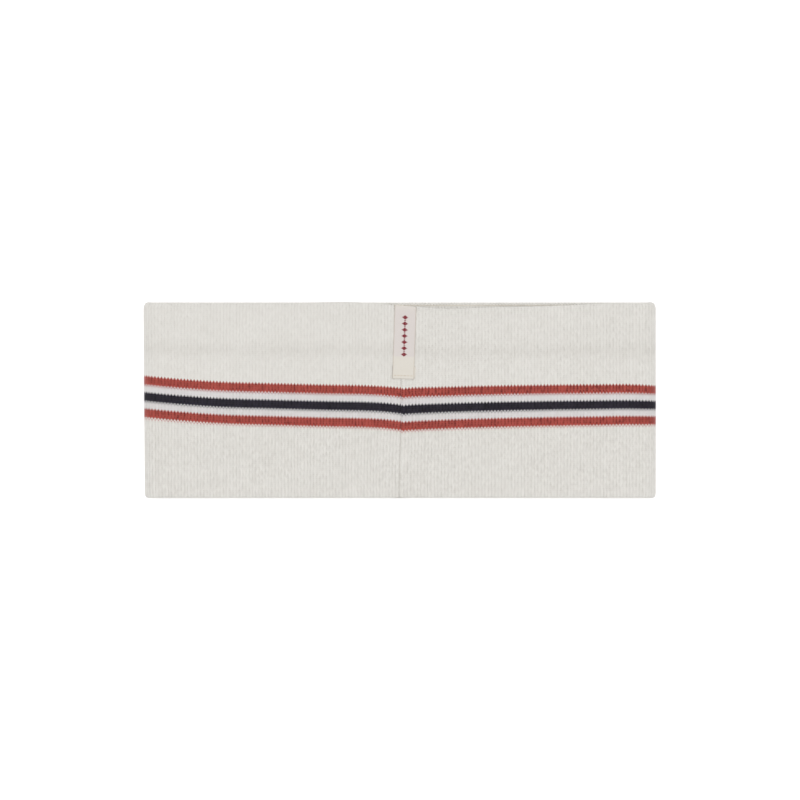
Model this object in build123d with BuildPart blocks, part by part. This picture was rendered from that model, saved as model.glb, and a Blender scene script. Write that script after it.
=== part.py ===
"""Knitted sports headband, lying flat: a closed loop of double knit with a woven label.

Units are millimetres. X runs along the flattened band, Y towards its top edge and Z up, out of the
front panel. The origin is the middle of the footprint, on the surface that the rear panel rests on.
"""

import os

from build123d import *

# Driving dimensions of the loop
flat_width = 250.0
band_height = 95.5
outer_thickness = 1.2
lining_thickness = 1.1
layer_gap = 0.1
opening_height = 6.2
edge_turn = 1.2
edge_radius = 1.1
clearance = 0.05

# Stripes: five bands of four courses each, the coloured ones a little taller. The front line is the
# upper edge of the first, which sags towards the seam on the front panel and runs straight across
# the rear one.
stripe_names = [
    "upper_red_stripe",
    "upper_white_stripe",
    "navy_stripe",
    "lower_white_stripe",
    "lower_red_stripe",
]
coloured_height = 4.35
white_height = 3.6
front_line = [
    (-119, 11.2), (-106, 10.05), (-91, 9.0), (-62, 8.05), (-38, 7.45), (-14, 6.95), (0.6, 6.3),
    (14, 6.25), (38, 6.75), (70, 7.4), (119, 7.5),
]

# Seam that closes the loop behind the label
seam_x = 0.6
seam_slit = 0.3
seam_round = 0.8
seam_allowance = 3.2
allowance_thickness = 0.9
lining_dip = 1.0
dip_floor = 3.6
dip_slope = 1.2
seam_stitch_pitch = 2.5
thread_radius = 0.15
edge_thread_radius = 0.25

# Woven label, folded over the front panel's top edge
label_top_x = 2.7
label_tilt = -1.8
label_drop = 0.2
label_width = 10.4
label_length = 37.3
label_thickness = 0.35
label_fold_radius = 1.3
label_turn = 6.3
label_room = 0.5

# Row of stitches through both ends of the label
label_stitches = 6
label_stitch_rise = 1.6
label_stitch_length = 1.1
label_stitch_pitch = 1.6

# Plain figure woven into the label: large and small lozenges in turn
motif_start = 5.8
motif_pitch = 3.2
motif_count = 7
motif_thickness = 0.12
large_lozenge = (3.4, 2.3)
small_lozenge = (1.1, 0.7)

# Worked out from the driving dimensions
panel_thickness = outer_thickness + layer_gap + lining_thickness
band_thickness = 2 * panel_thickness + opening_height
mid_z = band_thickness / 2
top_y = band_height / 2
edge_thread = 2 * edge_thread_radius
lining_y = top_y - edge_turn - edge_thread
outer_under_z = band_thickness - outer_thickness
lining_top_z = outer_under_z - layer_gap
lining_under_z = lining_top_z - lining_thickness
dip_under_z = lining_under_z - lining_dip
margin = 5.0
beyond = 2 * band_height
stripe_heights = [coloured_height, white_height] * 2 + [coloured_height]
stripe_levels = [-sum(stripe_heights[:step]) for step in range(len(stripe_names) + 1)]

# The label's own frame: its origin is the fold, X runs across it and -Y down its length
label_z = band_thickness + clearance + label_thickness
label_under_z = dip_under_z - 3 * clearance - label_thickness
label_plane = Plane.XY.move(Location((label_top_x, top_y - label_drop, 0), (0, 0, label_tilt)))
label_side = Plane(label_plane.origin, x_dir=label_plane.y_dir, z_dir=label_plane.x_dir)
label_across = Plane(label_plane.origin, x_dir=label_plane.x_dir, z_dir=-label_plane.y_dir)

os.makedirs("parts", exist_ok=True)


def level_points(level, front):
    """The line that a course at this level follows across the front or the rear panel."""
    line = front_line if front else [front_line[0], front_line[-1]]
    return [(x, y + level) for x, y in line]


def band_region(plane, upper, lower, front):
    """All that lies between two levels: each edge is level over the side folds."""
    reach = flat_width / 2 + margin
    with BuildSketch(plane) as region:
        with BuildLine():
            for points in (level_points(upper, front), level_points(lower, front)):
                Line((-reach, points[0][1]), points[0])
                if front:
                    Spline(*points, tangents=[(1, 0), (1, 0)])
                else:
                    Line(*points)
                Line(points[-1], (reach, points[-1][1]))
            for x, end in ((-reach, 0), (reach, -1)):
                y = front_line[end][1]
                Line((x, y + upper), (x, y + lower))
        make_face()
    return region.sketch


def loop_section(plane, inset, thickness):
    """The flattened loop's section, from a distance inside the outer face."""
    width, height = flat_width - 2 * inset, band_thickness - 2 * inset
    with BuildSketch(plane) as ring:
        with Locations((0, mid_z)):
            SlotOverall(width, height)
            SlotOverall(width - 2 * thickness, height - 2 * thickness, mode=Mode.SUBTRACT)
    return ring.sketch


def outer_section():
    """The outer layer's section, with its two ends rolled over and turned in at the seam."""
    fold_depth = clearance + allowance_thickness
    gap_width = seam_allowance - allowance_thickness
    with BuildSketch(Plane.XZ) as section:
        add(loop_section(Plane.XY, 0, outer_thickness))
        with Locations((seam_x, outer_under_z)):
            Rectangle(2 * seam_allowance, fold_depth, align=(Align.CENTER, Align.MAX))
        for side in (-1, 1):
            with Locations((seam_x + side * (seam_allowance - gap_width / 2), outer_under_z)):
                Rectangle(gap_width, clearance, align=(Align.CENTER, Align.MAX), mode=Mode.SUBTRACT)
        with Locations((seam_x, band_thickness)):
            Rectangle(seam_slit, 2 * panel_thickness, mode=Mode.SUBTRACT)
        rolled = section.vertices().group_by(Axis.Y)[-1].sort_by_distance((seam_x, band_thickness))
        fillet(rolled[:2], radius=seam_round)
    return section.sketch


def outer_band(upper, lower):
    """The outer layer between two levels, with its own edge line on each panel."""
    middle = Plane.XY.offset(mid_z)
    extrude(band_region(middle, upper, lower, front=True), amount=mid_z + margin)
    extrude(band_region(middle, upper, lower, front=False), amount=-mid_z - margin)
    extrude(outer_section(), amount=top_y, both=True, mode=Mode.INTERSECT)


def turned_edge(side):
    """The outer layer's rounded turn over the top (1) or bottom (-1) edge, round the whole loop."""
    plane = Plane.XZ.offset(-side * top_y)
    extrude(loop_section(plane, 0, panel_thickness), amount=side * edge_turn)
    rim = faces().sort_by(Axis.Y)[-1 if side > 0 else 0]
    fillet(rim.edges(), radius=edge_radius)
    with BuildSketch(plane) as slit:
        with Locations((seam_x, band_thickness)):
            Rectangle(seam_slit, 2 * panel_thickness + margin)
    extrude(slit.sketch, amount=side * edge_turn, mode=Mode.SUBTRACT)


def label_outline(plane, inset):
    """The label's outline seen from its side, filled, from a distance inside its outer face."""
    height = label_z - label_under_z - 2 * inset
    with BuildSketch(plane) as outline:
        with Locations((-inset, (label_z + label_under_z) / 2)):
            Rectangle(label_length, height, align=(Align.MAX, Align.CENTER))
        fillet(outline.vertices().group_by(Axis.X)[-1], radius=label_fold_radius - inset)
    return outline.sketch


def finish(part, name):
    """Names one piece and writes it."""
    part.label = name
    export_step(part, f"parts/{name}.step")


# Outer layer: the off-white fields and the striped courses between them. The label presses the
# knit down where it folds over the edge and where its end is turned under.
with BuildPart() as upper_field_knit:
    outer_band(beyond, stripe_levels[0])
    turned_edge(1)
    with BuildSketch(label_side) as pressed_edge:
        with Locations((0, (label_z + label_under_z) / 2)):
            Rectangle(2 * edge_turn, label_z - label_under_z + 2 * label_thickness)
    pressed = pressed_edge.sketch - label_outline(label_side, label_thickness + clearance)
    extrude(pressed, amount=(label_width + label_room) / 2, both=True, mode=Mode.SUBTRACT)
    with BuildSketch(label_plane.offset(label_z + clearance)) as pressed_end:
        with Locations((0, label_turn / 2 - label_length)):
            Rectangle(label_width + label_room, label_turn + label_room)
    depth = 2 * label_thickness + 4 * clearance
    extrude(pressed_end.sketch, amount=-depth, mode=Mode.SUBTRACT)
finish(upper_field_knit.part, "upper_field_knit")

with BuildPart() as lower_field_knit:
    outer_band(stripe_levels[-1], -beyond)
    turned_edge(-1)
finish(lower_field_knit.part, "lower_field_knit")

for name, upper, lower in zip(stripe_names, stripe_levels, stripe_levels[1:]):
    with BuildPart() as stripe:
        outer_band(upper, lower)
    finish(stripe.part, name)

# Lining: the layer against the head, pressed inwards where the seam allowances lie behind it
with BuildPart() as inner_lining_knit:
    with BuildSketch(Plane.XZ):
        add(loop_section(Plane.XY, outer_thickness + layer_gap, lining_thickness))
        for level, spread, mode in (
            (lining_under_z, lining_thickness / 2, Mode.ADD),
            (lining_top_z, 0, Mode.SUBTRACT),
        ):
            narrow = dip_floor + spread
            wide = narrow + dip_slope
            with BuildLine():
                Polyline(
                    (seam_x - wide, level),
                    (seam_x + wide, level),
                    (seam_x + narrow, level - lining_dip),
                    (seam_x - narrow, level - lining_dip),
                    close=True,
                )
            make_face(mode=mode)
        with Locations((seam_x, lining_under_z)):
            Rectangle(seam_slit, 2 * panel_thickness, mode=Mode.SUBTRACT)
    extrude(amount=lining_y, both=True)
finish(inner_lining_knit.part, "inner_lining_knit")

# Thread that links the lining to the turned edges, one run round the inside of each edge
for name, side in (("top_linking_thread", 1), ("bottom_linking_thread", -1)):
    with BuildPart() as linking_thread:
        plane = Plane.XZ.offset(-side * lining_y)
        run = loop_section(plane, panel_thickness - edge_thread + 2 * thread_radius, edge_thread)
        extrude(run, amount=-side * edge_thread)
    finish(linking_thread.part, name)

# Rows of stitches across the seam, through the outer layer's turned-in ends and through the lining
for name, height in (
    ("outer_seam_thread", outer_under_z - thread_radius),
    ("lining_seam_thread", dip_under_z + lining_thickness / 2),
):
    with BuildPart() as seam_thread:
        count = int(2 * lining_y / seam_stitch_pitch)
        with BuildSketch(Plane.YZ.offset(seam_x)):
            with Locations((0, height)):
                with GridLocations(seam_stitch_pitch, 0, count, 1):
                    Circle(thread_radius)
        extrude(amount=allowance_thickness, both=True)
    finish(seam_thread.part, name)

# Label: one ribbon folded over the front panel's top edge, its outer end turned under
with BuildPart() as woven_label:
    with BuildSketch(label_side):
        add(label_outline(Plane.XY, 0) - label_outline(Plane.XY, label_thickness))
        with Locations((-label_length, label_z)):
            Rectangle(label_thickness, 2 * label_thickness + clearance, align=(Align.MIN, Align.MAX))
        with Locations((-label_length, label_z - label_thickness - clearance)):
            Rectangle(label_turn, label_thickness, align=(Align.MIN, Align.MAX))
    extrude(amount=label_width / 2, both=True)
finish(woven_label.part, "woven_label")

# Figure yarn, floating on the label's face
with BuildPart() as label_motif_yarn:
    with BuildSketch(label_plane.offset(label_z)):
        for shape, start, count in (
            (large_lozenge, motif_start, motif_count),
            (small_lozenge, motif_start + motif_pitch / 2, motif_count - 1),
        ):
            half_width, half_height = shape[0] / 2, shape[1] / 2
            outline = Polygon(
                (half_width, 0), (0, half_height), (-half_width, 0), (0, -half_height),
                mode=Mode.PRIVATE,
            )
            with Locations(*[(0, -start - step * motif_pitch) for step in range(count)]):
                add(outline)
    extrude(amount=motif_thickness)
finish(label_motif_yarn.part, "label_motif_yarn")

# Stitches through both legs of the label and the panel between them, each a closed loop of thread
with BuildPart() as label_stitching:
    depth = label_z - label_under_z + 2 * thread_radius
    with BuildSketch(label_across.offset(label_length - label_stitch_rise)):
        with Locations((0, (label_z + label_under_z) / 2)):
            with GridLocations(label_stitch_pitch, 0, label_stitches, 1):
                Rectangle(label_stitch_length, depth)
                Rectangle(
                    label_stitch_length - 4 * thread_radius, depth - 2 * thread_radius, mode=Mode.SUBTRACT
                )
    extrude(amount=thread_radius, both=True)
finish(label_stitching.part, "label_stitching")
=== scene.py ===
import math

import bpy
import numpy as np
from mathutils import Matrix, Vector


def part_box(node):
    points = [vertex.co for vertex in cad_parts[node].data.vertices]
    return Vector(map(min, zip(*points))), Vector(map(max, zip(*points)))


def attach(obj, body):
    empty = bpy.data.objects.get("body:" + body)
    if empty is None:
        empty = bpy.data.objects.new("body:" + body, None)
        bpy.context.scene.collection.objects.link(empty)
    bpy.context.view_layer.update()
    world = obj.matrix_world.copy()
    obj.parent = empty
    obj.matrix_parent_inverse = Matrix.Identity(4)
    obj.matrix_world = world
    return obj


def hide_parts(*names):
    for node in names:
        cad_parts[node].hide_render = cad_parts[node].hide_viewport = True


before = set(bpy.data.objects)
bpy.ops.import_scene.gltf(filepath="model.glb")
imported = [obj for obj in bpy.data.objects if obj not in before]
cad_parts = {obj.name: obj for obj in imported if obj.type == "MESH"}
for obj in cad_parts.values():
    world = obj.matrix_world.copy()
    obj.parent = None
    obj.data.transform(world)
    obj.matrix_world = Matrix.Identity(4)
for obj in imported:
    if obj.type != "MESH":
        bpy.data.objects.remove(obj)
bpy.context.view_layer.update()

# Knitted sports headband lying flat: a closed loop of double knit with a woven label.
# Constants are in millimetres and meshes in metres, in the CAD frame: X runs along the flattened
# band, Y towards its top edge and Z up, out of the front panel.

MM = 0.001
rng = np.random.default_rng(7)


def box_mm(node):
    """Lowest and highest corner of a CAD node, in millimetres."""
    low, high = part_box(node)
    return np.array(low) / MM, np.array(high) / MM


# Read from the frame
field_low, field_high = box_mm("upper_field_knit")
half_width = (field_high[0] - field_low[0]) / 2
thickness = field_high[2]
top_y = field_high[1]
fold_radius = thickness / 2
seam_x = sum(corner[0] for corner in box_mm("outer_seam_thread")) / 2
link_y = sum(corner[1] for corner in box_mm("top_linking_thread")) / 2
link_inset = half_width - box_mm("top_linking_thread")[1][0] + 0.25
label_low, label_high = box_mm("woven_label")

# Layers, stripes and label, repeated from the CAD source
panel_thickness = 2.4
rim_radius = panel_thickness / 2
rim_y = top_y - rim_radius
lining_edge_y = 46.05
seam_allowance = 3.2
lining_dip = 1.0
stripe_heights = (4.35, 3.6, 4.35, 3.6, 4.35)
label_width = 10.4
label_length = 37.3
label_thickness = 0.35
label_fold = 1.3
label_turn = 6.3
label_tilt = math.radians(-1.8)
stitch_count = 6
stitch_rise = 1.6
stitch_pitch = 1.6
motif_start = 5.8
motif_pitch = 3.2
motif_count = 13
large_lozenge = (3.4, 2.3)
small_lozenge = (1.1, 0.7)

# The seam is drawn closed, with tighter edges than the CAD's
seam_roll = 0.25
seam_depth = 1.3

# How far the label's turned end stands out beside its upper leg
turn_offset = 1.1

# Upper edge of the first stripe on the front panel, out to both folds
front_line = [
    (-125, 11.85), (-119, 11.2), (-106, 10.05), (-91, 9.0), (-62, 8.05), (-38, 7.45), (-14, 6.95),
    (0.6, 6.3), (14, 6.2), (38, 6.75), (70, 7.3), (95, 7.5), (112, 7.55), (125, 7.0),
]

# How much the stripes narrow towards the right fold, as a share of their height
stripe_squeeze = [(-125, 0), (40, 0), (75, 0.011), (100, 0.022), (114, 0.034), (125, 0.06)]

# How far the lower stripes are drawn down beside the seam
seam_pull = 0.35

# Stitches of the knit: columns are wales and rows are courses
wale_count = 328
courses_rim = 4
courses_upper = 38
courses_stripe = 4
courses_lower = 34
courses_lining = 92
front_steps = (0, 0.18, 0.36, 0.5, 0.64, 0.82)
rear_steps = (0, 0.25, 0.5, 0.75)
course_steps = 4
zigzag = 0.56

# How clearly the stitches show: above the stripes at the left, more towards the right, and below
firm_above = 0.46
firm_rightward = 0.15
firm_below = 0.75

# How the front panel lies: waves, a shallow valley and a sag between the two folds, in
# millimetres down; the seam's drift, the left fold's lean and the corners' insets sideways
wave_heights = (0.28, 0.14)
valley_y = 25
valley_depth = 0.25
sag = 1.4
sag_middle = 3.4
sag_beside_label = 0.8
seam_drift = 0.9
left_lean = 0.35
corner_insets = (0.75, 0.4)

# How far the front panel's top edge hangs below the rear one, along the band
edge_dip = [
    (-125, 0.3), (-60, 0.4), (-12, 0.5), (-4, 1.3), (5, 1.7), (12, 2.6), (49, 2.4), (80, 1.6),
    (105, 0.6), (125, 0.3),
]


def smooth(value, start, end):
    """0 before start, 1 after end, and an even slope between them."""
    t = np.clip((value - start) / (end - start), 0, 1)
    return t * t * (3 - 2 * t)


def through(x, knots):
    """A smooth curve through the knots."""
    kx, ky = np.array(knots, float).T
    slope = np.gradient(ky, kx)
    i = np.clip(np.searchsorted(kx, x) - 1, 0, len(kx) - 2)
    h = kx[i + 1] - kx[i]
    t = np.clip((x - kx[i]) / h, 0, 1)
    start = (1 + 2 * t) * (1 - t) ** 2 * ky[i] + t * (1 - t) ** 2 * h * slope[i]
    end = t * t * (3 - 2 * t) * ky[i + 1] + t * t * (t - 1) * h * slope[i + 1]
    return start + end


def settle(points):
    """The way the limp band lies: every piece goes through this, so that all stay together."""
    x, y, z = (points[..., i] for i in range(3))
    front = smooth(z, 3.5, 7.5)
    lowered = front * smooth(y, 12, top_y) * through(x, edge_dip)
    wide_wave, small_wave = wave_heights
    waves = wide_wave * np.sin(x / 31 + 1) * np.cos(y / 29) + small_wave * np.sin(x / 13 + y / 17)
    valley = valley_depth * np.exp(-(((y - valley_y) / 8) ** 2))
    sunk = sag + sag_middle * np.exp(-(((x - 25) / 75) ** 2))
    sunk = sunk * (0.3 + 0.7 * smooth(y, -20, top_y))
    sunk = sunk * smooth(half_width - np.abs(x), 4, 60)
    beside_label = smooth(x, 8, 16) * smooth(-x, -100, -60) * smooth(y, 25, top_y)
    sunk = sunk + sag_beside_label * beside_label
    corner = smooth(np.abs(y), top_y - 2.6, top_y) * np.where(y > 0, *corner_insets)
    side = smooth(np.abs(x), half_width - 16, half_width)
    slant = left_lean * y / top_y * smooth(-x, half_width - 25, half_width)
    slant = slant + seam_drift * front * smooth(-y, 5, 40) * np.exp(-((x / 25) ** 2))
    return np.stack(
        [x - np.sign(x) * corner * side - slant, y - lowered, z + front * (waves - valley - sunk)],
        axis=-1,
    )


# Paths in one plane, as dense points


def arc(centre, radius, start, end):
    """Points along an arc, with its angles in degrees."""
    angle = np.radians(np.linspace(start, end, 40))
    return np.column_stack([centre[0] + radius * np.cos(angle), centre[1] + radius * np.sin(angle)])


def stadium(inset, start, end):
    """The flattened loop at a distance inside the outer face, from start to end on the front."""
    reach = half_width - fold_radius
    radius = fold_radius - inset
    return np.concatenate(
        [start, arc((reach, fold_radius), radius, 90, -90),
         arc((-reach, fold_radius), radius, -90, -270), end]
    )


def measure(path):
    """Each point's distance along the path."""
    steps = np.linalg.norm(np.diff(path, axis=0), axis=1)
    return np.concatenate([[0], np.cumsum(steps)])


def follow(path, s):
    """Points at the distances s along the path, and the normals on its left."""
    along = measure(path)

    def at(distance):
        clipped = np.clip(distance, 0, along[-1])
        return np.column_stack([np.interp(clipped, along, path[:, i]) for i in range(2)])

    heading = at(s + 0.04) - at(s - 0.04)
    heading /= np.linalg.norm(heading, axis=1)[:, None]
    return at(s), np.column_stack([-heading[:, 1], heading[:, 0]])


def outer_path():
    """The outer layer, with both ends turned down at the seam and laid back underneath."""
    ends = []
    for side, face, foot in ((1, (180, 90), (270, 180)), (-1, (0, 90), (-90, 0))):
        x = seam_x + side * seam_roll
        low = thickness - seam_depth
        end = np.concatenate(
            [[(seam_x + side * seam_allowance, low)], arc((x, low + seam_roll), seam_roll, *foot),
             arc((x, thickness - seam_roll), seam_roll, *face)]
        )
        ends.append(end)
    return stadium(0, ends[0], ends[1][::-1])


def lining_path():
    """The lining's visible face, dipping under the seam and facing into the opening."""
    level = thickness - panel_thickness
    offset = np.linspace(0.15, 8, 80)
    z = level - lining_dip * (1 - smooth(offset, 3.4, 5.2)) + 0.5 * (1 - smooth(offset, 0.1, 0.7))
    right = np.column_stack([seam_x + offset, z])
    left = np.column_stack([seam_x - offset, z])[::-1]
    return stadium(panel_thickness, right, left)[::-1]


# Knitted sheets


def wales(path, steps_front, steps_rear):
    """The columns of the knit: each one's distance along the path and place across its wale."""
    pitch = np.interp(np.linspace(0, 1, wale_count), [0, 0.25, 0.75, 1], [1.61, 1.58, 1.58, 1.55])
    starts = np.concatenate([[0], np.cumsum(pitch)]) * measure(path)[-1] / pitch.sum()
    middle = follow(path, (starts[:-1] + starts[1:]) / 2)[0]
    s, across = [], []
    for start, end, z in zip(starts[:-1], starts[1:], middle[:, 1]):
        steps = steps_front if z > fold_radius else steps_rear
        s += [start + (end - start) * step for step in steps]
        across += steps
    return np.array(s + [starts[-1]]), np.array(across + [0])


def outer_rows():
    """Rows from the top edge's hidden lip to the bottom one's.

    Each is (height, share of the stripe line, depth, turn over the edge, phase in its course).
    """
    steps = course_steps
    rim_rows = courses_rim * steps
    rows = [(rim_y - 0.6, 0, 1.9, math.pi, 0), (rim_y - 0.25, 0, 2.2, math.pi, 0.5)]
    for i in range(rim_rows):
        turn = math.pi * (1 - i / rim_rows)
        height = rim_y + rim_radius * math.sin(turn)
        rows.append((height, 0, rim_radius * (1 - math.cos(turn)), turn, i % steps / steps))
    levels = [-sum(stripe_heights[:i]) for i in range(len(stripe_heights) + 1)]
    spans = [((rim_y, 0), (0, 1), courses_upper)]
    spans += [((top, 1), (bottom, 1), courses_stripe) for top, bottom in zip(levels, levels[1:])]
    spans += [((levels[-1], 1), (-rim_y, 0), courses_lower)]
    cuts = []
    for (y0, k0), (y1, k1), courses in spans:
        if len(cuts) or k0:
            cuts.append(len(rows))
        for i in range(courses * steps):
            t = i / (courses * steps)
            rows.append((y0 + (y1 - y0) * t, k0 + (k1 - k0) * t, 0, 0, i % steps / steps))
    for i in range(rim_rows + 1):
        turn = math.pi * i / rim_rows
        height = -rim_y - rim_radius * math.sin(turn)
        rows.append((height, 0, rim_radius * (1 - math.cos(turn)), -turn, i % steps / steps))
    rows += [(-rim_y + 0.25, 0, 2.2, -math.pi, 0.5), (-rim_y + 0.6, 0, 1.9, -math.pi, 0)]
    return np.array(rows), [0] + cuts + [len(rows) - 1]


def lining_rows():
    """Rows of the lining, with both edges tucked behind the linking threads."""
    edge = [(lining_edge_y + 0.5, 0.5), (lining_edge_y + 0.3, 0.2)]
    flat = np.linspace(lining_edge_y, -lining_edge_y, courses_lining * 2 + 1)
    rows = [(y, 0, depth, 0, 0) for y, depth in edge]
    rows += [(y, 0, 0, 0, i % 2 / 2) for i, y in enumerate(flat)]
    rows += [(-y, 0, depth, 0, 0) for y, depth in reversed(edge)]
    return np.array(rows)


def stripe_line(x, z):
    """The upper edge of the first stripe: sagging to the seam in front, straight at the rear."""
    rear = np.interp(x, *np.transpose([front_line[0], front_line[-1]]))
    away = x - seam_x
    pulled = np.where(away < 0, 0.5, 0.95) * np.exp(-np.abs(away) / 4.5)
    return np.where(z > fold_radius, through(x, front_line) - pulled, rear)


def course_heights(height, share, place):
    """The height of every row at every column, before the stitches are added."""
    x, front = place[:, 0], place[:, 1] > fold_radius
    line = stripe_line(x, place[:, 1])
    pull = np.where(front, np.exp(-(((x - 6) / 10) ** 2)), 0)
    rear_squeeze = np.interp(x, [-half_width, half_width], [0, stripe_squeeze[-1][1]])
    squeeze = np.where(front, through(x, stripe_squeeze), rear_squeeze)
    low = share * smooth(-height, 0, 14)
    y = height[:, None] + share[:, None] * line[None, :]
    y = y - seam_pull * low[:, None] * pull[None, :]
    return y - squeeze[None, :] * (share * np.minimum(height, 0))[:, None]


def relief(across, phase):
    """How far each vertex of the knit stands out, and how much painted shade and random tone its
    colour takes.

    The holes between wales differ from stitch to stitch, and so does the random tone of each leg.
    """
    boundary = np.exp(-((np.minimum(across, 1 - across) / 0.14) ** 2))[None, :]
    spine = np.exp(-(((across - 0.5) / 0.12) ** 2))[None, :]
    valley = (0.5 + 0.5 * np.cos(2 * np.pi * phase))[:, None] ** 1.5
    course = np.cumsum(phase == 0)
    wale = np.cumsum(across == 0) + (across > 0.5)
    uneven = 0.45 + 0.7 * rng.uniform(0, 1, (course[-1] + 1, wale[-1] + 1)) ** 2
    hole = valley * boundary * uneven[course[:, None], wale[None, :]]
    leg = 2 * np.cumsum(across == 0) + (across >= 0.5)
    shade = rng.uniform(-0.08, 0.2, (course[-1] + 1, leg[-1] + 1))[course[:, None], leg[None, :]]
    overlap = boundary * (1 - valley)
    stand = 0.05 - 0.02 * boundary - 0.05 * spine - 0.06 * valley - 0.06 * valley * boundary
    # Painted shade in the holes and along the wales, with each leg's random tone
    painted_shade_and_tone = 0.1 + 0.03 * spine - 0.1 * overlap + 1.15 * hole + shade * (1 - overlap)
    return stand - 0.22 * hole + rng.normal(0, 0.012, stand.shape), painted_shade_and_tone


def label_frame(x, y):
    """A place in the label's own frame: across it, and along it from the fold (negative down)."""
    dx, dy = x - label_origin[0], y - label_origin[1]
    c, s = math.cos(label_tilt), math.sin(label_tilt)
    return dx * c + dy * s, -dx * s + dy * c


def press_under_label(x, y, z):
    """The outer layer's heights, giving way under the label's turned end and at its fold."""
    wide, along = label_frame(x, y)
    near = 1 - smooth(np.abs(wide), label_width / 2 - 0.2, label_width / 2 + 0.6)
    front = smooth(z, fold_radius, fold_radius + 2)
    past_turn = smooth(-along, label_length - label_turn - 0.6, label_length - label_turn)
    before_end = 1 - smooth(-along, label_length - 0.1, label_length + 0.5)
    z = z - 0.32 * near * front * past_turn * before_end
    at_fold = near * smooth(z, thickness - 2, thickness - 0.8)
    z = z - 0.35 * at_fold * smooth(y, rim_y - 2.5, rim_y - 0.6)
    return y - 0.6 * near * front * smooth(y, rim_y - 0.4, top_y), z


def knit(path, rows, steps_front, steps_rear, is_outer):
    """Vertices of a knitted sheet as rows by columns, with the painted shade and random tone of their
    colour.

    The outer layer has a closed seam and a hollow under the label, with painted shade along a crease
    above the stripes and along the seam.
    """
    s, across = wales(path, steps_front, steps_rear)
    place, normal = follow(path, s)
    height, share, depth, turn, phase = rows.T
    y = course_heights(height, share, place)
    front = place[:, 1] > fold_radius
    beside = np.abs(place[:, 0] - seam_x)
    stand, painted_shade_and_tone = relief(across, phase)
    stand = stand * np.where(front, smooth(beside, 0.25, 1.1), 1)[None, :]
    firm = firm_above + firm_rightward * smooth(place[:, 0], -60, 60)[None, :]
    firm = firm + (firm_below - firm) * smooth(-y, -8, 8)
    stand, painted_shade_and_tone = stand * firm, painted_shade_and_tone * firm + 0.16 * (0.9 - firm)
    turned_in = 1.0
    if is_outer:
        # Painted shade: a soft band along a crease above the stripes, and a thin line along the closed
        # seam
        painted_crease_shade = 0.07 * np.exp(-(((y - 24.4) / 3) ** 2)) * front[None, :]
        painted_seam_shade = 0.06 * np.where(front, np.exp(-((beside / 0.3) ** 2)), 0)[None, :]
        painted_shade_and_tone = painted_shade_and_tone + painted_crease_shade + painted_seam_shade
        turned_in = smooth(np.minimum(s, measure(path)[-1] - s), 2.9, 4.0)[None, :]
    over, up = np.cos(turn)[:, None], np.sin(turn)[:, None]
    loop = 0.5 * (np.abs(2 * across - 1) * 2 - 1) + 0.5 * np.cos(2 * np.pi * across)
    shift = zigzag * loop[None, :]
    out = -depth[:, None] * turned_in + stand * over - shift * up
    y = y + stand * up + shift * over
    x = place[None, :, 0] + normal[None, :, 0] * out
    z = place[None, :, 1] + normal[None, :, 1] * out
    if is_outer:
        closed = np.where(front, 0.3 * np.exp(-((beside / 0.8) ** 2)), 0)
        closed = closed * np.sign(place[:, 0] - seam_x)
        x = x - smooth(depth, 0, rim_radius)[:, None] * closed[None, :]
        y, z = press_under_label(x, y, z)
    return settle(np.stack([x, y, z], axis=-1)), np.clip(painted_shade_and_tone, 0, 1)


# Meshes and pieces


def grid_faces(rows, columns):
    """Four corners for each face of a grid, facing along the path's normals."""
    index = np.arange(rows * columns).reshape(rows, columns)
    corners = [index[:-1, :-1], index[1:, :-1], index[1:, 1:], index[:-1, 1:]]
    return np.stack(corners, axis=-1).reshape(-1, 4)


def add_piece(name, mesh, material, nodes):
    """A visible piece that stands for CAD nodes and rides on the one body."""
    piece = bpy.data.objects.new(name, mesh)
    bpy.context.scene.collection.objects.link(piece)
    mesh.materials.append(material)
    mesh.shade_smooth()
    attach(piece, "root")
    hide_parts(*nodes)
    return piece


def grid_mesh(name, points, attributes):
    """A mesh from rows by columns of points, with a value for each vertex in each attribute."""
    rows, columns = points.shape[:2]
    faces = grid_faces(rows, columns)
    mesh = bpy.data.meshes.new(name)
    mesh.vertices.add(rows * columns)
    mesh.vertices.foreach_set("co", (points * MM).astype(np.float32).ravel())
    mesh.loops.add(faces.size)
    mesh.loops.foreach_set("vertex_index", faces.astype(np.int32).ravel())
    mesh.polygons.add(len(faces))
    mesh.polygons.foreach_set("loop_start", np.arange(0, faces.size, 4, dtype=np.int32))
    for key, values in attributes.items():
        layer = mesh.attributes.new(key, "FLOAT", "POINT")
        layer.data.foreach_set("value", np.ascontiguousarray(values, dtype=np.float32).ravel())
    mesh.update(calc_edges=True)
    mesh.validate()
    return mesh


def thread_mesh(name, runs, radius, cyclic=False):
    """Round threads along the runs, each a list of points, as one mesh."""
    curve = bpy.data.curves.new(name + "_line", "CURVE")
    curve.dimensions = "3D"
    curve.bevel_depth = radius * MM
    curve.bevel_resolution = 2
    curve.use_fill_caps = True
    for run in runs:
        spline = curve.splines.new("POLY")
        points = settle(np.array(run, float)) * MM
        spline.points.add(len(points) - 1)
        for target, point in zip(spline.points, points):
            target.co = (*point, 1)
        spline.use_cyclic_u = cyclic
        if not cyclic:
            spline.points[0].radius = spline.points[-1].radius = 0.45
    carrier = bpy.data.objects.new(name + "_line", curve)
    bpy.context.scene.collection.objects.link(carrier)
    bpy.context.view_layer.update()
    mesh = bpy.data.meshes.new_from_object(carrier)
    mesh.name = name
    bpy.data.objects.remove(carrier)
    bpy.data.curves.remove(curve)
    return mesh


# Materials


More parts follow.
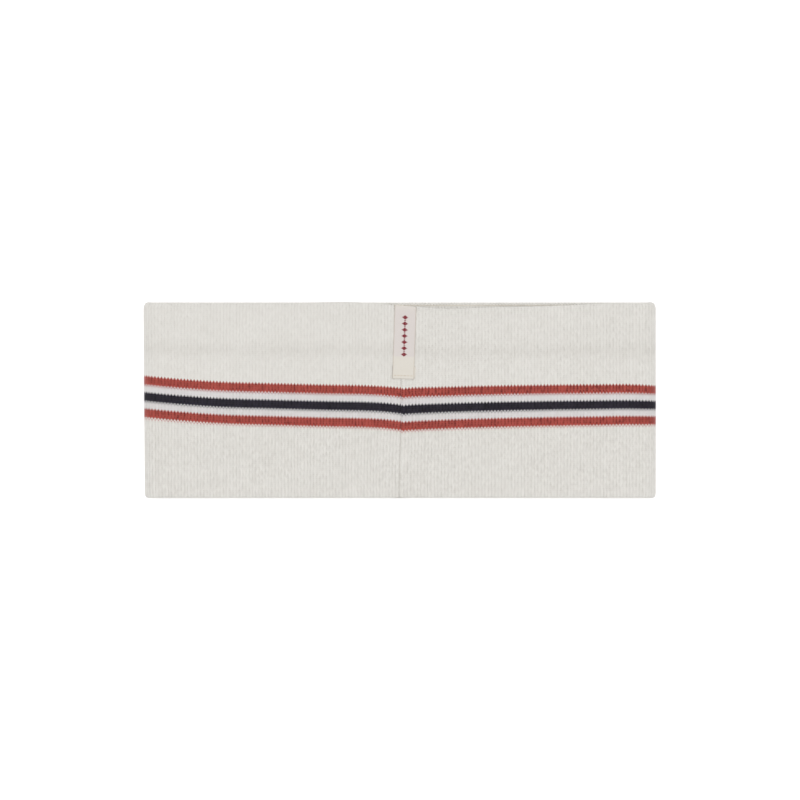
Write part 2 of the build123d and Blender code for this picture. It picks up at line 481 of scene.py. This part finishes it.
class Nodes:
    """Adds and links the nodes of one material."""

    def __init__(self, name):
        self.material = bpy.data.materials.new(name)
        self.material.use_nodes = True
        self.tree = self.material.node_tree
        self.shader = self.tree.nodes["Principled BSDF"]

    def value(self, socket, source):
        if isinstance(source, bpy.types.NodeSocket):
            self.tree.links.new(source, socket)
        else:
            socket.default_value = source

    def add(self, kind, inputs=(), **settings):
        node = self.tree.nodes.new("ShaderNode" + kind)
        for key, setting in settings.items():
            setattr(node, key, setting)
        for key, source in dict(inputs).items():
            self.value(node.inputs[key], source)
        return node

    def place(self):
        return self.add("TexCoord").outputs["Object"]

    def noise(self, scale, detail=3):
        inputs = {"Vector": self.place(), "Scale": scale, "Detail": detail}
        return self.add("TexNoise", inputs).outputs["Fac"]

    def attribute(self, name):
        return self.add("Attribute", attribute_name=name).outputs["Fac"]

    def math(self, operation, first, second):
        return self.add("Math", {0: first, 1: second}, operation=operation).outputs[0]

    def ramp(self, value, start, end):
        inputs = {"Value": value, "From Min": start, "From Max": end}
        return self.add("MapRange", inputs, interpolation_type="SMOOTHSTEP").outputs[0]

    def mix(self, factor, first, second):
        node = self.add("Mix", data_type="RGBA")
        self.value(node.inputs["Factor"], factor)
        self.value(node.inputs[6], first)
        self.value(node.inputs[7], second)
        return node.outputs[2]

    def finish(self, colour, roughness, height, distance, sheen):
        bump = self.add("Bump", {"Height": height, "Strength": 0.5, "Distance": distance})
        self.value(self.shader.inputs["Base Color"], colour)
        self.value(self.shader.inputs["Roughness"], roughness)
        self.value(self.shader.inputs["Normal"], bump.outputs[0])
        self.shader.inputs["Sheen Weight"].default_value = sheen
        self.shader.inputs["Sheen Roughness"].default_value = 0.5
        self.shader.inputs["Specular IOR Level"].default_value = 0.2
        return self.material


def knit_material(name, pale, deep, painted_shade_colour, bleed_colour=None, sheen=0.25, full=None):
    """Soft yarn: cloudy tone, fibres, and painted shade down in the grooves, mixed with each leg's
    random tone.
    """
    nodes = Nodes(name)
    cloud = nodes.ramp(nodes.noise(70), 0.35, 0.65)
    fibre = nodes.noise(2600, 4)
    tone = nodes.mix(nodes.math("MULTIPLY", cloud, 0.3), pale, deep)
    tone = nodes.mix(nodes.math("MULTIPLY", nodes.ramp(fibre, 0.4, 0.75), 0.5), tone, deep)
    # Painted shade in the holes and grooves, with each leg's random tone, read from the mesh
    painted_shade_and_tone = nodes.attribute("painted_shade_and_tone")
    if full:
        painted_shade_and_tone = nodes.ramp(painted_shade_and_tone, 0.12, full)
    tone = nodes.mix(painted_shade_and_tone, tone, painted_shade_colour)
    if bleed_colour:
        tone = nodes.mix(nodes.attribute("bleed"), tone, bleed_colour)
    rough = nodes.ramp(fibre, -1.2, 1.0)
    return nodes.finish(tone, rough, fibre, 0.0002, sheen)


def thread_material(name, pale, deep):
    """Twisted sewing thread."""
    nodes = Nodes(name)
    twist = nodes.noise(4200, 2)
    tone = nodes.mix(nodes.ramp(twist, 0.35, 0.7), pale, deep)
    return nodes.finish(tone, nodes.ramp(twist, -1.0, 1.4), twist, 0.00006, 0.1)


def ribbon_material(name, cream, pink, shade, selvedge_and_edge_shadow):
    """Woven ribbon: fine crossing threads, tinted where the figure yarn runs behind them, with painted
    shadow along both long edges.
    """
    nodes = Nodes(name)
    along, across = nodes.attribute("along"), nodes.attribute("across")
    weft = nodes.math("SINE", nodes.math("MULTIPLY", along, 24), 0)
    warp = nodes.math("SINE", nodes.math("MULTIPLY", across, 30), 0)
    weave = nodes.ramp(nodes.math("MULTIPLY", weft, warp), -1, 1)
    zone = nodes.math("MULTIPLY", nodes.ramp(along, -3, 4.5),
                      nodes.math("SUBTRACT", 1.0, nodes.ramp(along, 25.6, 26.6)))
    tone = nodes.mix(zone, cream, pink)
    # Painted shadow along both long edges of the label
    edge = nodes.ramp(nodes.math("ABSOLUTE", across, 0), 4.75, 5.2)
    tone = nodes.mix(nodes.math("MULTIPLY", edge, 0.6), tone, selvedge_and_edge_shadow)
    cloud = nodes.math("MULTIPLY", nodes.noise(300), 0.25)
    tone = nodes.mix(cloud, tone, shade)
    tone = nodes.mix(nodes.math("MULTIPLY", weave, 0.12), tone, shade)
    return nodes.finish(tone, nodes.ramp(weave, -2.5, 1.6), weave, 0.00004, 0.1)


# The darkest colour of each yarn is painted shade, for the holes and grooves of its knit
off_white = (0.783, 0.767, 0.73, 1)
off_white_deep = (0.735, 0.717, 0.676, 1)
off_white_painted_shade = (0.3, 0.272, 0.232, 1)
white = (0.73, 0.71, 0.712, 1)
white_deep = (0.67, 0.648, 0.652, 1)
red = (0.42, 0.077, 0.06, 1)
red_deep = (0.29, 0.048, 0.037, 1)
red_painted_shade = (0.05, 0.006, 0.006, 1)
navy = (0.0245, 0.0215, 0.0315, 1)
navy_deep = (0.013, 0.011, 0.017, 1)
navy_painted_shade = (0.003, 0.003, 0.004, 1)

plain_knit = knit_material("off_white_yarn", off_white, off_white_deep, off_white_painted_shade)
under_red = knit_material("off_white_under_red", off_white, off_white_deep, off_white_painted_shade, red)
white_under_red = knit_material("white_under_red", white, white_deep, off_white_painted_shade, red_deep)
white_under_navy = knit_material("white_under_navy", white, white_deep, off_white_painted_shade, navy)
upper_red_knit = knit_material("upper_red_yarn", red, red_deep, red_painted_shade, full=0.34)
lower_red_knit = knit_material("lower_red_yarn", red, red_deep, red_painted_shade, full=0.42)
navy_knit = knit_material("navy_yarn", navy, navy_deep, navy_painted_shade, sheen=0.05, full=0.4)
lining_material = knit_material("lining_yarn", off_white, off_white_deep, off_white_painted_shade)
sewing = thread_material("sewing_thread", (0.76, 0.715, 0.63, 1), (0.66, 0.61, 0.52, 1))
label_sewing = thread_material("label_thread", (0.68, 0.6, 0.49, 1), (0.58, 0.5, 0.39, 1))
figure = thread_material("figure_yarn", (0.3, 0.03, 0.045, 1), (0.2, 0.018, 0.028, 1))
# The last colour is painted shadow for the label's long edges
ribbon = ribbon_material(
    "label_ribbon", (0.718, 0.684, 0.625, 1), (0.682, 0.634, 0.618, 1), (0.6, 0.55, 0.47, 1),
    (0.52, 0.43, 0.34, 1),
)

# The camera looks straight down on the band, with its top edge up
camera_data = bpy.data.cameras.new("camera")
camera_data.lens = 200
camera_data.sensor_width = 36
frame_width = 390.9
camera_height = fold_radius + frame_width * camera_data.lens / camera_data.sensor_width
camera = bpy.data.objects.new("camera", camera_data)
camera.location = (0, 0, camera_height * MM)
bpy.context.scene.collection.objects.link(camera)
bpy.context.scene.camera = camera

# The label's fold, from the corner of its tilted box
half_label = label_width / 2
label_origin = (
    label_high[0] - half_label * math.cos(label_tilt),
    label_high[1] + half_label * math.sin(label_tilt),
)

# Outer layer: one knitted grid, cut where the yarn's colour changes. The last value says whether the
# colour above shows through between a strip's first loops.
outer_strips = [
    ("outer_upper_field", "upper_field_knit", "off_white_knit", plain_knit, False),
    ("outer_upper_red", "upper_red_stripe", "brick_red_knit", upper_red_knit, False),
    ("outer_upper_white", "upper_white_stripe", "off_white_knit", white_under_red, True),
    ("outer_navy", "navy_stripe", "navy_knit", navy_knit, False),
    ("outer_lower_white", "lower_white_stripe", "off_white_knit", white_under_navy, True),
    ("outer_lower_red", "lower_red_stripe", "brick_red_knit", lower_red_knit, False),
    ("outer_lower_field", "lower_field_knit", "off_white_knit", under_red, True),
]
outer_line = outer_path()
row_table, cuts = outer_rows()
outer_points, outer_painted_shade_and_tone = knit(outer_line, row_table, front_steps, rear_steps, True)
outer_across = wales(outer_line, front_steps, rear_steps)[1]
beside_wale = np.exp(-((np.minimum(outer_across, 1 - outer_across) / 0.16) ** 2))
# Where the colour changes, the new loops cover most of each hole, so that row takes less painted shade
# and tone
hole_left = 0.35
outer_painted_shade_and_tone[cuts[1:-1]] *= hole_left
for (name, node, slot, material, bleeds), first, last in zip(outer_strips, cuts, cuts[1:]):
    rows = slice(first, last + 1)
    attributes = {"painted_shade_and_tone": outer_painted_shade_and_tone[rows]}
    if bleeds:
        bleed = np.zeros_like(outer_painted_shade_and_tone[rows])
        bleed[3:6] = beside_wale
        attributes["bleed"] = bleed
    mesh = grid_mesh(name, outer_points[rows], attributes)
    add_piece(name, mesh, material, [node])

# Lining
lining_line = lining_path()
lining_points, lining_painted_shade_and_tone = knit(lining_line, lining_rows(), rear_steps, rear_steps, False)
lining_mesh = grid_mesh("lining", lining_points, {"painted_shade_and_tone": lining_painted_shade_and_tone})
lining = add_piece("lining", lining_mesh, lining_material, ["inner_lining_knit"])

# Threads that link the lining to both turned edges, one small stitch to each wale
link_line = stadium(link_inset, [(seam_x + 0.3, thickness - link_inset)],
                    [(seam_x - 0.3, thickness - link_inset)])
link_s = np.linspace(0, measure(link_line)[-1], wale_count * 4 + 1)
link_place, link_normal = follow(link_line, link_s)
link_wave = np.sin(np.arange(len(link_s)) * math.pi / 2)
link_lift = 0.08 * np.cos(np.arange(len(link_s)) * math.pi / 2)
for name, node, side in (
    ("linking_thread_top", "top_linking_thread", 1),
    ("linking_thread_bottom", "bottom_linking_thread", -1),
):
    place = link_place + link_normal * link_lift[:, None]
    run = np.column_stack([place[:, 0], side * (link_y + 0.16 * link_wave), place[:, 1]])
    add_piece(name, thread_mesh(name, [run], 0.17), sewing, [node])

# Threads across the seam, in the outer layer and in the lining
for name, node, z, half in (
    ("seam_thread_outer", "outer_seam_thread", thickness - 1.25, 0.55),
    ("seam_thread_lining", "lining_seam_thread", thickness - panel_thickness - lining_dip + 0.1, 0.45),
):
    steps = np.arange(-45, 45.1, 1.25)
    run = [(seam_x + half * (-1) ** i, y, z) for i, y in enumerate(steps)]
    add_piece(name, thread_mesh(name, [run], 0.13), sewing, [node])


# Label


def on_label(across, along, z):
    """A point given in the label's own frame, in the band's."""
    c, s = math.cos(label_tilt), math.sin(label_tilt)
    x = label_origin[0] + across * c - along * s
    y = label_origin[1] + across * s + along * c
    return np.stack(np.broadcast_arrays(x, y, z), axis=-1)


half = label_thickness / 2
label_top = label_high[2]
label_under = label_low[2]
turn_z = label_top - half - label_thickness - 0.05
turn_radius = (label_top - half - turn_z) / 2
label_line = np.concatenate(
    [[(-label_length + label_turn, turn_z)],
     arc((-label_length + turn_radius + half, turn_z + turn_radius), turn_radius, 270, 90),
     arc((-label_fold, label_top - label_fold), label_fold - half, 90, 0),
     arc((-label_fold, label_under + label_fold), label_fold - half, 0, -90),
     [(-label_length, label_under + half)]]
)
label_run = measure(label_line)
label_rows = 300
label_s = np.linspace(0, label_run[-1], label_rows)
label_place, label_normal = follow(label_line, label_s)
across = np.linspace(-half_label, half_label, 45)
stitch_at = [(i - (stitch_count - 1) / 2) * stitch_pitch for i in range(stitch_count)]
stitch_along = -(label_length - stitch_rise)
on_face = (label_place[:, 1] > label_top - 0.25)[:, None]
selvedge_and_edge_shadow = 0.04 * smooth(np.abs(across), half_label - 0.7, half_label - 0.2)
lift = selvedge_and_edge_shadow[None, :] * np.ones((label_rows, 1))
for centre in stitch_at:
    reach = ((across[None, :] - centre) / 0.75) ** 2
    reach = reach + ((label_place[:, :1] - stitch_along) / 0.5) ** 2
    lift = lift - on_face * 0.13 * np.exp(-reach)
along = label_place[:, :1] + label_normal[:, :1] * lift
z = label_place[:, 1:] + label_normal[:, 1:] * lift
turned = label_turn - label_s[:, None]
skew = turn_offset * smooth(turned, 0.3, 2.0)
label_points = settle(on_label(across[None, :] + skew, along, z))
label_mesh = grid_mesh(
    "label", label_points[::-1],
    {"along": np.broadcast_to(-along, lift.shape)[::-1],
     "across": np.broadcast_to(across[None, :], lift.shape)},
)
label = add_piece("label", label_mesh, ribbon, ["woven_label"])
solid = label.modifiers.new("thickness", "SOLIDIFY")
solid.thickness = label_thickness * MM
solid.offset = 0

# Plain woven figure: large and small lozenges, each of parallel floats
float_pitch = 0.23
floats = []
for i in range(motif_count):
    width, height = (large_lozenge, small_lozenge)[i % 2]
    centre = -(motif_start + i * motif_pitch / 2)
    count = int(height / float_pitch)
    for row in range(-(count // 2), count // 2 + 1):
        reach = width / 2 * max(0.12, 1 - abs(row) * float_pitch / (height / 2))
        ends = np.linspace(-reach, reach, 5)
        crown = label_top + 0.05 - 0.09 * (ends / reach) ** 4
        floats.append(on_label(ends, centre + row * float_pitch, crown))
add_piece("label_figure", thread_mesh("label_figure", floats, 0.1), figure,
          ["label_motif_yarn"])

# Stitches through both legs of the label
stitches = []
for centre in stitch_at:
    corner = [(-0.42, 0.0), (0.42, 0.0), (0.5, -0.25)]
    up = [(dx, label_top - 0.06 + dz) for dx, dz in corner]
    down = [(dx, label_under - 0.02 - dz) for dx, dz in reversed(corner)]
    ring = up + down
    ring += [(-0.5, label_under + 0.23), (-0.5, label_top - 0.31)]
    stitches.append(
        [on_label(centre + dx, stitch_along, height) for dx, height in ring]
    )
add_piece("label_stitches", thread_mesh("label_stitches", stitches, 0.14, cyclic=True), label_sewing,
          ["label_stitching"])

# The outer loop's length, and points along it away from both ends
loop_length = measure(outer_line)[-1]
round_loop = follow(outer_line, np.linspace(4, loop_length - 4, 500))[0]

# Plain pale floor
floor_mesh = bpy.data.meshes.new("floor")
floor_mesh.from_pydata([(-4, -4, 0), (4, -4, 0), (4, 4, 0), (-4, 4, 0)], [], [(0, 1, 2, 3)])
floor = bpy.data.objects.new("floor", floor_mesh)
floor.location.z = -0.0003
bpy.context.scene.collection.objects.link(floor)
paper = Nodes("floor_paper")
floor_tone = paper.mix(paper.noise(40), (0.98, 0.98, 0.98, 1), (0.97, 0.97, 0.97, 1))
floor_rough = paper.ramp(paper.noise(60), -2, 1)
paper.shader.inputs["Emission Color"].default_value = (1, 1, 1, 1)
paper.shader.inputs["Emission Strength"].default_value = 0.26
floor_mesh.materials.append(paper.finish(floor_tone, floor_rough, paper.noise(900), 0.00002, 0))

# Soft studio light, a little stronger from beyond the top edge
world = bpy.data.worlds.new("studio")
world.use_nodes = True
world.node_tree.nodes["Background"].inputs["Color"].default_value = (1, 1, 1, 1)
world.node_tree.nodes["Background"].inputs["Strength"].default_value = 0.74
bpy.context.scene.world = world
light_data = bpy.data.lights.new("overhead", "AREA")
light_data.shape = "DISK"
light_data.size = 0.8
light_data.energy = 25
light_y, light_z = 0.2, 2.7
light = bpy.data.objects.new("overhead", light_data)
light.location = (0, light_y, light_z)
light.rotation_euler = (-math.atan2(light_y, light_z), 0, 0)
bpy.context.scene.collection.objects.link(light)
bpy.context.scene.view_settings.view_transform = "Standard"
